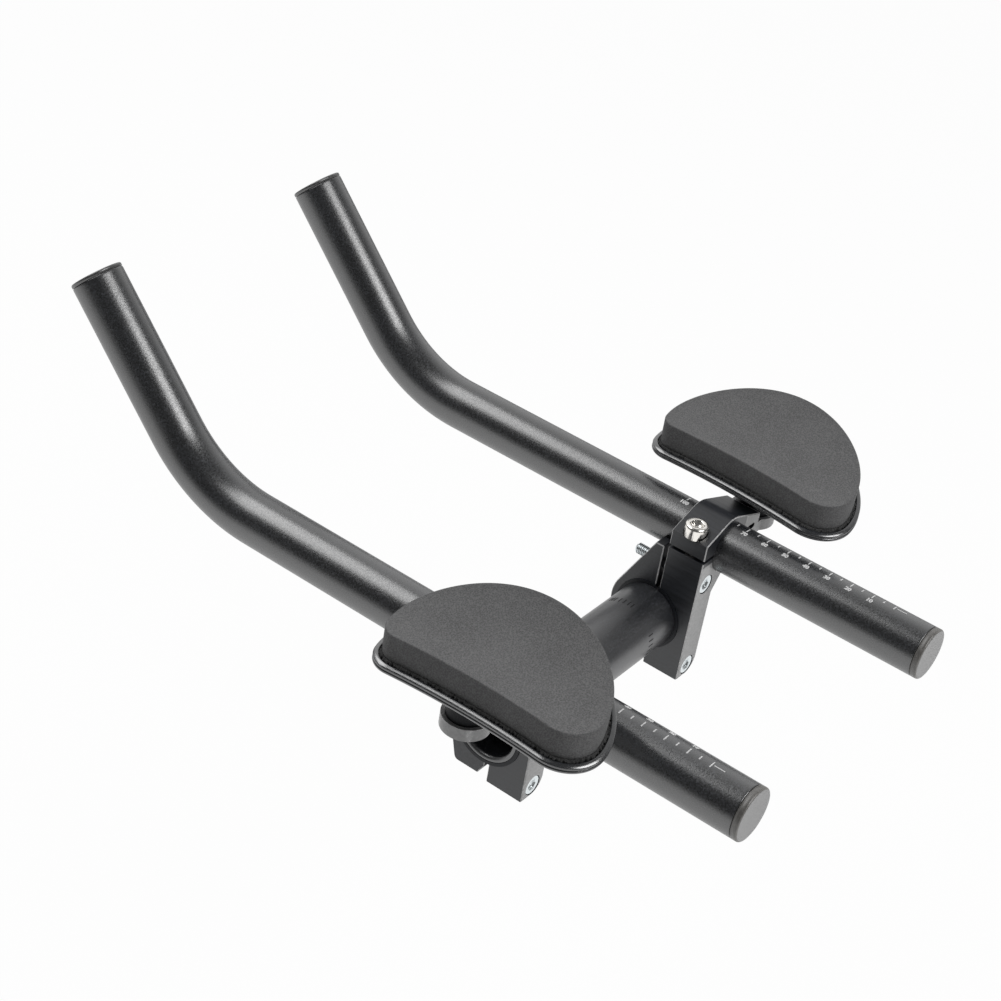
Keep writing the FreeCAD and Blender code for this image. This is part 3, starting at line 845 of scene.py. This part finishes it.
def make_finish(name, kind, size, tones, roughness, bump, tint=PLAIN, depth=0.00006, stretch=(1, 1, 1),
                metallic=0.0, index=1.5):
    """A material: one grain group on Object coordinates feeds colour, roughness and a bump of the shader."""
    finish = bpy.data.materials.new(name)
    finish.use_nodes = True
    tree = finish.node_tree
    shader = shader_of(finish)
    shader.inputs["Metallic"].default_value = metallic
    shader.inputs["IOR"].default_value = index
    place = tree.nodes.new("ShaderNodeTexCoord")
    mapping = tree.nodes.new("ShaderNodeMapping")
    mapping.inputs["Scale"].default_value = stretch
    tree.links.new(place.outputs["Object"], mapping.inputs["Vector"])
    grain = group_node(tree, GRAINS[kind], Vector=mapping.outputs["Vector"], Size=size,
                       Dark=grey(tones[0], tint), Light=grey(tones[1], tint),
                       Smooth=roughness[0], Rough=roughness[1])
    tree.links.new(grain.outputs["Colour"], shader.inputs["Base Color"])
    tree.links.new(grain.outputs["Roughness"], shader.inputs["Roughness"])
    relief = tree.nodes.new("ShaderNodeBump")
    relief.inputs["Strength"].default_value = bump
    relief.inputs["Distance"].default_value = depth
    tree.links.new(grain.outputs["Height"], relief.inputs["Height"])
    tree.links.new(relief.outputs["Normal"], shader.inputs["Normal"])
    return finish


def add_milled_ends(finish, axis, end_tones, edge_sheen, end_tint=PLAIN, sheen_tint=PLAIN):
    """Put end colour between a material's grain and its colour: drawn lines on ends, painted highlight flecks
    on bevel faces.

    Gives the group's node.
    """
    tree = finish.node_tree
    shader = shader_of(finish)
    place = next(n for n in tree.nodes if n.type == "TEX_COORD")
    normal = tree.nodes.new("ShaderNodeSeparateXYZ")
    tree.links.new(place.outputs["Normal"], normal.inputs["Vector"])
    lines = group_node(tree, GRAINS["drawn"], Vector=place.outputs["Object"], Size=MILLED_SIZE,
                       Dark=grey(end_tones[0], end_tint), Light=grey(end_tones[1], end_tint))
    # Pale flecks on the bevel faces: a painted highlight along the edges.
    flecks = group_node(tree, GRAINS["blasted"], Vector=place.outputs["Object"], Size=SHEEN_SIZE,
                        Dark=grey(edge_sheen[0], sheen_tint), Light=grey(edge_sheen[1], sheen_tint))
    node = group_node(tree, MILLED_END_SHEEN, Along=normal.outputs[axis],
                      Plain=shader.inputs["Base Color"].links[0].from_socket,
                      Milled=lines.outputs["Colour"], Bare=flecks.outputs["Colour"])
    tree.links.new(node.outputs["Colour"], shader.inputs["Base Color"])
    return node


def limit_to_clamp(finish, node):
    """The pale end colour, a painted reflection, on the clamp's block below its slit and on its wing, and all
    round its turned lug.
    """
    tree = finish.node_tree
    place = next(n for n in tree.nodes if n.type == "TEX_COORD")
    spot = tree.nodes.new("ShaderNodeSeparateXYZ")
    tree.links.new(place.outputs["Object"], spot.inputs["Vector"])
    out = math_node(tree, "ABSOLUTE", spot.outputs["X"])
    block = range_node(tree, spot.outputs["Z"], SLIT_Z - SLIT_FADE, SLIT_Z, 1.0, 0.0)
    wing = range_node(tree, out, WING_X, WING_X + WING_FADE, 0.0, 1.0)
    lug = range_node(tree, out, LUG_X, LUG_X + WING_FADE, 0.0, 1.0)
    feed(tree, node.inputs["Where"], math_node(tree, "MAXIMUM", block, wing))
    feed(tree, node.inputs["All Round"], lug)


bar_black = make_finish("blasted black tube", "blasted", 1500.0, tones=(0.005, 0.045), roughness=(0.24, 0.4),
                        bump=0.8, tint=BLUE, depth=0.00005, index=2.25)
cross_black = make_finish("cross tube black", "blasted", 1500.0, tones=(0.007, 0.05), roughness=(0.28, 0.42),
                          bump=0.7, tint=BLUE, depth=0.00005, index=2.25)
clamp_black = make_finish("extruded clamp black", "drawn", 900.0, tones=(0.008, 0.03), roughness=(0.3, 0.42),
                          bump=0.25, tint=BLUE, stretch=(1.0, 0.05, 1.0), index=1.65)
# On the clamp the pale end colour is a painted reflection, and the pale bevel colour is a painted highlight.
limit_to_clamp(clamp_black, add_milled_ends(clamp_black, "Y", end_tones=(0.26, 0.42), edge_sheen=(0.4, 0.8)))
cap_black = make_finish("clamp cap black", "drawn", 900.0, tones=(0.008, 0.03), roughness=(0.3, 0.42),
                        bump=0.25, tint=BLUE, stretch=(0.05, 1.0, 1.0), index=1.6)
# On the cap the end colour is its own dark tone, and the pale bevel colour is a painted highlight.
add_milled_ends(cap_black, "X", end_tones=(0.008, 0.03), edge_sheen=(0.3, 0.7), end_tint=BLUE)
sleeve_grey = make_finish("split sleeve grey", "drawn", 800.0, tones=(0.008, 0.02), roughness=(0.35, 0.5),
                          bump=0.2, tint=BLUE, stretch=(0.1, 1.0, 1.0), index=1.35)
riser_black = make_finish("riser black", "drawn", 900.0, tones=(0.004, 0.012), roughness=(0.45, 0.6),
                          bump=0.2, tint=BLUE, stretch=(1.0, 1.0, 12.0), index=1.3)
screw_zinc = make_finish("screw zinc", "drawn", 700.0, tones=(0.85, 0.97), roughness=(0.16, 0.28),
                         bump=0.15, tint=ZINC, metallic=1.0)
bolt_zinc = make_finish("bolt zinc", "drawn", 700.0, tones=(0.75, 0.92), roughness=(0.25, 0.4),
                        bump=0.2, tint=BLUE_ZINC, metallic=1.0)
# The rear plug's pale base and end colour are a painted reflection, and its warm bevel colour is a painted
# highlight.
rear_plug_sheen_grey = make_finish("rear plug grey, painted sheen", "blasted", 900.0, tones=(0.09, 0.17), roughness=(0.35, 0.5),
                             bump=0.3, tint=WARM, index=1.8)
add_milled_ends(rear_plug_sheen_grey, "Y", end_tones=(0.2, 0.33), edge_sheen=(0.2, 0.32), sheen_tint=WARM)
front_plug_grey = make_finish("front plug grey", "blasted", 900.0, tones=(0.03, 0.09), roughness=(0.3, 0.45),
                              bump=0.3, index=2.1)
tray_gloss = make_finish("tray gloss black", "blasted", 500.0, tones=(0.012, 0.03), roughness=(0.2, 0.28),
                         bump=0.03, tint=BLUE, index=2.4)
tape_fuzz = make_finish("tape fuzz black", "foam", 1400.0, tones=(0.012, 0.07), roughness=(0.85, 1.0),
                        bump=1.0, depth=0.0003)
pad_foam = make_finish("pad foam grey", "foam", 1700.0, tones=(0.07, 0.17), roughness=(0.8, 0.95),
                       bump=0.5, tint=FOAM, depth=0.00015)
scale_white = make_finish("scale white", "blasted", 1500.0, tones=(0.6, 0.85), roughness=(0.5, 0.65),
                          bump=0.1)
mark_dark = make_finish("mark dark", "blasted", 1500.0, tones=(0.008, 0.02), roughness=(0.5, 0.65),
                        bump=0.1)

NODE_FINISH = {
    "clamp_body": clamp_black,
    "clamp_cap": cap_black,
    "bar_shim": sleeve_grey,
    "rest_riser": riser_black,
    "rest_screw": screw_zinc,
}
for side_name in SIDES:
    for node_name, node_finish in NODE_FINISH.items():
        materials = nodes[f"{side_name}_{node_name}"].data.materials
        materials.clear()
        materials.append(node_finish)

make_bars(bar_black)
make_cross_tube(cross_black)
make_plugs(rear_plug_sheen_grey, front_plug_grey)
make_scales(scale_white)
make_cross_marks(mark_dark)
make_screws(screw_zinc, bolt_zinc)
make_pads(pad_foam)
make_tape(tape_fuzz)
make_trays(tray_gloss)
make_tray_beads(tray_gloss)


# Floor, light and camera, in metres

FLOOR_Z = -0.16
FLOOR_REACH = 6.0
FLOOR_WHITE = 0.96
FLOOR_NEAR = (0.6, 1.2)
BACKDROP_SIDE = (0.82, 0.57, 0.0)
ROOM_DIM = 0.08


def white_blend(tree, share, shader, white, output_type):
    """Let the first shader give way to a white one by a share, at the tree's own output."""
    blend = tree.nodes.new("ShaderNodeMixShader")
    tree.links.new(share, blend.inputs["Fac"])
    tree.links.new(shader, blend.inputs[1])
    tree.links.new(white, blend.inputs[2])
    output = next(n for n in tree.nodes if n.type == output_type)
    tree.links.new(blend.outputs["Shader"], output.inputs["Surface"])


def make_floor():
    """A wide pale floor below the object: nearly white to the camera, with a trace of shadow left on it.

    In reflections it is white near the object and plain further out.
    """
    mesh = bpy.data.meshes.new("floor")
    corners = [(x * FLOOR_REACH, y * FLOOR_REACH, FLOOR_Z) for x, y in ((-1, -1), (1, -1), (1, 1), (-1, 1))]
    mesh.from_pydata(corners, [], [(0, 1, 2, 3)])
    finish = bpy.data.materials.new("white floor")
    finish.use_nodes = True
    tree = finish.node_tree
    shader = shader_of(finish)
    shader.inputs["Base Color"].default_value = grey(0.86)
    shader.inputs["Roughness"].default_value = 0.9
    glow = tree.nodes.new("ShaderNodeEmission")
    glow.inputs["Strength"].default_value = 1.0
    rays = tree.nodes.new("ShaderNodeLightPath")
    place = tree.nodes.new("ShaderNodeTexCoord")
    distance = tree.nodes.new("ShaderNodeVectorMath")
    distance.operation = "LENGTH"
    tree.links.new(place.outputs["Object"], distance.inputs[0])
    near = range_node(tree, distance.outputs["Value"], *FLOOR_NEAR, 1.0, 0.0)
    to_camera = math_node(tree, "MULTIPLY", rays.outputs["Is Camera Ray"], FLOOR_WHITE)
    to_gloss = math_node(tree, "MULTIPLY", rays.outputs["Is Glossy Ray"], near)
    share = math_node(tree, "MAXIMUM", to_camera, to_gloss)
    white_blend(tree, share, shader.outputs["BSDF"], glow.outputs["Emission"], "OUTPUT_MATERIAL")
    mesh.materials.append(finish)
    floor = bpy.data.objects.new("floor", mesh)
    bpy.context.scene.collection.objects.link(floor)


def make_world():
    """White to the camera; to all else a pale backdrop beyond the object and a dim room on the near side."""
    world = bpy.data.worlds.new("studio")
    world.use_nodes = True
    tree = world.node_tree
    room = next(n for n in tree.nodes if n.type == "BACKGROUND")
    rays = tree.nodes.new("ShaderNodeLightPath")
    place = tree.nodes.new("ShaderNodeTexCoord")
    facing = tree.nodes.new("ShaderNodeVectorMath")
    facing.operation = "DOT_PRODUCT"
    facing.inputs[1].default_value = BACKDROP_SIDE
    tree.links.new(place.outputs["Generated"], facing.inputs[0])
    strength = range_node(tree, facing.outputs["Value"], 0.1, 0.8, ROOM_DIM, 1.0)
    tree.links.new(strength, room.inputs["Strength"])
    white = tree.nodes.new("ShaderNodeBackground")
    white.inputs["Strength"].default_value = 1.0
    for background in (room, white):
        background.inputs["Color"].default_value = grey(1.0)
    share = rays.outputs["Is Camera Ray"]
    white_blend(tree, share, room.outputs["Background"], white.outputs["Background"], "OUTPUT_WORLD")
    bpy.context.scene.world = world


def make_softbox(name, place, aim, width, height, power):
    """A rectangular lamp at a place, its face turned towards the aim."""
    lamp = bpy.data.lights.new(name, "AREA")
    lamp.shape = "RECTANGLE"
    lamp.size = width
    lamp.size_y = height
    lamp.energy = power
    holder = bpy.data.objects.new(name, lamp)
    back = np.asarray(place) - np.asarray(aim)
    back = back / np.linalg.norm(back)
    side = np.cross(Z_AXIS, back)
    side = side / np.linalg.norm(side)
    turn = Matrix((side, np.cross(back, side), back)).transposed().to_4x4()
    turn.translation = place
    holder.matrix_world = turn
    bpy.context.scene.collection.objects.link(holder)


def make_camera():
    """The photograph's view: right, up and back directions of the camera, its place and its lens."""
    camera = bpy.data.cameras.new("camera")
    camera.lens = 78.80
    camera.sensor_width = 36.0
    camera.clip_start = 0.01
    holder = bpy.data.objects.new("camera", camera)
    turn = Matrix(((0.60388663, -0.78454127, 0.14076909),
                   (0.3745598, 0.4352117, 0.8187159),
                   (-0.70358077, -0.44168514, 0.55667615))).transposed().to_4x4()
    turn.translation = (-0.62516, -0.34141, 0.54803)
    holder.matrix_world = turn
    bpy.context.scene.collection.objects.link(holder)
    bpy.context.scene.camera = holder


make_floor()
make_world()
make_softbox("front softbox", (-0.22, 0.82, 1.10), aim=(0.0, 0.05, 0.04), width=1.0, height=0.75, power=8.0)
make_softbox("rear softbox", (0.04, -0.88, 0.92), aim=(0.0, 0.05, 0.06), width=0.7, height=0.6, power=8.0)
make_camera()
bpy.context.scene.view_settings.view_transform = "Standard"
